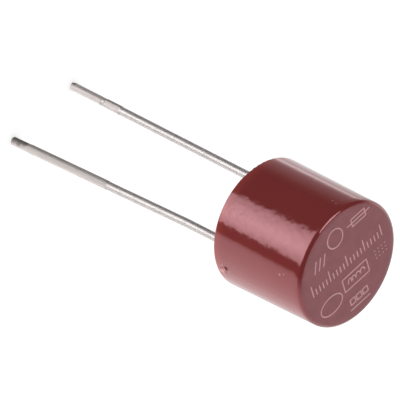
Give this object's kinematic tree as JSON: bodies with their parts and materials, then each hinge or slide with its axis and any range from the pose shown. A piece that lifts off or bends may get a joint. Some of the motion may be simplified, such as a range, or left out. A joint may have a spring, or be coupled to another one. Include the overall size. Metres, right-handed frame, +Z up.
{
  "type": "radial lead fuse",
  "caption": "Small round moulded fuse with parallel wire leads below its base. It stands on a circuit board and opens the circuit when the current stays too high.",
  "frame": {"origin": "halfway between the leads, on the plane of the circuit board that the base's feet stand on", "axes": "+Z up the body's axis to the marked face, so the leads point along -Z; +X from the left lead to the right lead"},
  "size_m": [0.0086, 0.0084, 0.0267],
  "materials": {
    "housing": "maroon moulded polyamide, semi-gloss side and matte face",
    "base_plastic": "maroon moulded polyamide",
    "lead_wire": "bright tin plating on copper wire",
    "core_ceramic": "unglazed, off-white",
    "fuse_wire": "drawn copper alloy wire",
    "solder": "dull tin solder"
  },
  "bodies": {
    "root": {"cap": "housing", "base": "base_plastic", "lead_left": "lead_wire", "lead_right": "lead_wire", "core": "core_ceramic", "element": "fuse_wire", "solder_left": "solder", "solder_right": "solder"}
  },
  "joints": []
}
